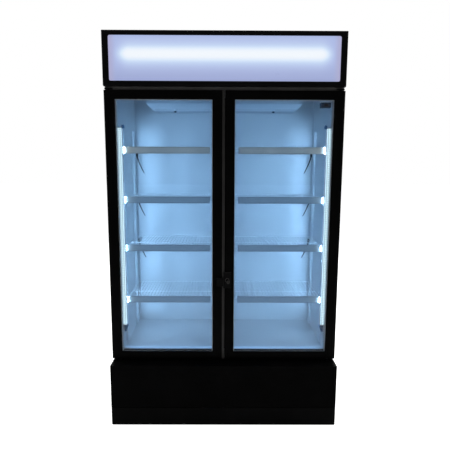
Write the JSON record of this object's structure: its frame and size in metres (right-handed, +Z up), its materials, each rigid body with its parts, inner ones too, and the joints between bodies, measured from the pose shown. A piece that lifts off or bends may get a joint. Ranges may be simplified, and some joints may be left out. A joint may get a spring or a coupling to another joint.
{
  "type": "glass door merchandiser",
  "caption": "Two-door upright display fridge with glass doors, a lit canopy panel, wire shelves with label strips and a condensing unit in the base.",
  "frame": {"origin": "centre of the footprint on the floor, under the levelling feet", "axes": "+X to the right seen from the front, +Y to the back, +Z up; the doors face -Y"},
  "size_m": [1.13, 0.65, 1.914],
  "materials": {
    "black_steel": "satin black powder coat",
    "white_liner": "smooth white coated sheet",
    "foam": "rigid polyurethane foam",
    "black_plastic": "satin black extrusion",
    "grey_plastic": "grey extruded label holder",
    "white_plastic": "white moulded plastic",
    "galvanised": "bare galvanised sheet",
    "zinc_steel": "zinc-plated steel",
    "white_wire": "white dipped wire",
    "clear_glass": "clear double glazing",
    "spacer": "grey warm-edge spacer",
    "gasket": "soft black magnetic gasket",
    "light_panel": "translucent white acrylic",
    "lamp": "frosted LED tube",
    "led_lens": "clear LED lens",
    "compressor_black": "gloss black stoved enamel",
    "copper": "bare copper tube",
    "chrome": "polished chrome",
    "fan_black": "moulded black fan"
  },
  "bodies": {
    "cabinet": {"side_panels": "black_steel", "outer_skin": "black_steel", "foam_insulation": "foam", "liner": "white_liner", "front_frame": "black_plastic", "center_mullion": "black_plastic", "pilasters": "white_liner", "center_posts": "white_liner", "shelf_clips": "black_plastic", "label_strips": "grey_plastic", "shelf_ties": "black_plastic", "led_bases": "galvanised", "led_lenses": "led_lens", "led_end_caps": "black_plastic", "light_switch_box": "black_plastic", "evaporator_cover": "white_plastic", "evaporator_coil": "galvanised", "evap_fan_motors": "black_plastic", "cover_knobs": "white_plastic", "canopy_housing": "black_steel", "canopy_bezel": "black_plastic", "canopy_light_panel": "light_panel", "canopy_tube": "lamp", "canopy_tube_holders": "white_plastic", "base_cover": "black_steel", "plinth_panel": "black_steel", "base_tray": "galvanised", "levelling_feet": "zinc_steel", "rear_grille": "black_steel", "power_inlet": "black_plastic", "compressor": "compressor_black", "condenser": "galvanised", "condenser_shroud": "galvanised", "condenser_fan_motor": "zinc_steel", "refrigerant_lines": "copper", "hinge_brackets": "black_steel", "shelf_left_1": "white_wire", "shelf_right_1": "white_wire", "shelf_left_2": "white_wire", "shelf_right_2": "white_wire", "shelf_left_3": "white_wire", "shelf_right_3": "white_wire", "shelf_left_4": "white_wire", "shelf_right_4": "white_wire"},
    "left_door": {"left_door_frame": "black_plastic", "left_door_glass": "clear_glass", "left_door_spacer": "spacer", "left_door_gasket": "gasket", "lock_keeper": "black_plastic"},
    "right_door": {"right_door_frame": "black_plastic", "right_door_glass": "clear_glass", "right_door_spacer": "spacer", "right_door_gasket": "gasket", "lock_housing": "black_plastic"},
    "lock_barrel": {"lock_cylinder": "chrome"},
    "light_rocker": {"light_switch_rocker": "black_plastic"},
    "evaporator_fan_left": {"evap_fan_left": "fan_black"},
    "evaporator_fan_right": {"evap_fan_right": "fan_black"},
    "condenser_rotor": {"condenser_fan": "fan_black"}
  },
  "joints": [
    {"name": "left_door_hinge", "type": "hinge", "parent": "cabinet", "child": "left_door", "pos_m": [-0.549, -0.245, 0.9935], "axis": [0, 0, -1], "range_deg": [0, 110]},
    {"name": "right_door_hinge", "type": "hinge", "parent": "cabinet", "child": "right_door", "pos_m": [0.549, -0.245, 0.9935], "axis": [0, 0, 1], "range_deg": [0, 110]},
    {"name": "lock_turn", "type": "hinge", "parent": "right_door", "child": "lock_barrel", "pos_m": [0.021, -0.277, 0.736], "axis": [0, -1, 0], "range_deg": [0, 90]},
    {"name": "light_switch_rock", "type": "hinge", "parent": "cabinet", "child": "light_rocker", "pos_m": [0.491, -0.187, 1.595], "axis": [1, 0, 0], "range_deg": [0, 10]},
    {"name": "evaporator_fan_left_spin", "type": "hinge", "parent": "cabinet", "child": "evaporator_fan_left", "pos_m": [-0.2, 0.052, 1.74], "axis": [0, 1, 0], "continuous": true},
    {"name": "evaporator_fan_right_spin", "type": "hinge", "parent": "cabinet", "child": "evaporator_fan_right", "pos_m": [0.2, 0.052, 1.74], "axis": [0, 1, 0], "continuous": true},
    {"name": "condenser_fan_spin", "type": "hinge", "parent": "cabinet", "child": "condenser_rotor", "pos_m": [-0.3, -0.1018, 0.1583], "axis": [0, 1, 0], "continuous": true}
  ]
}
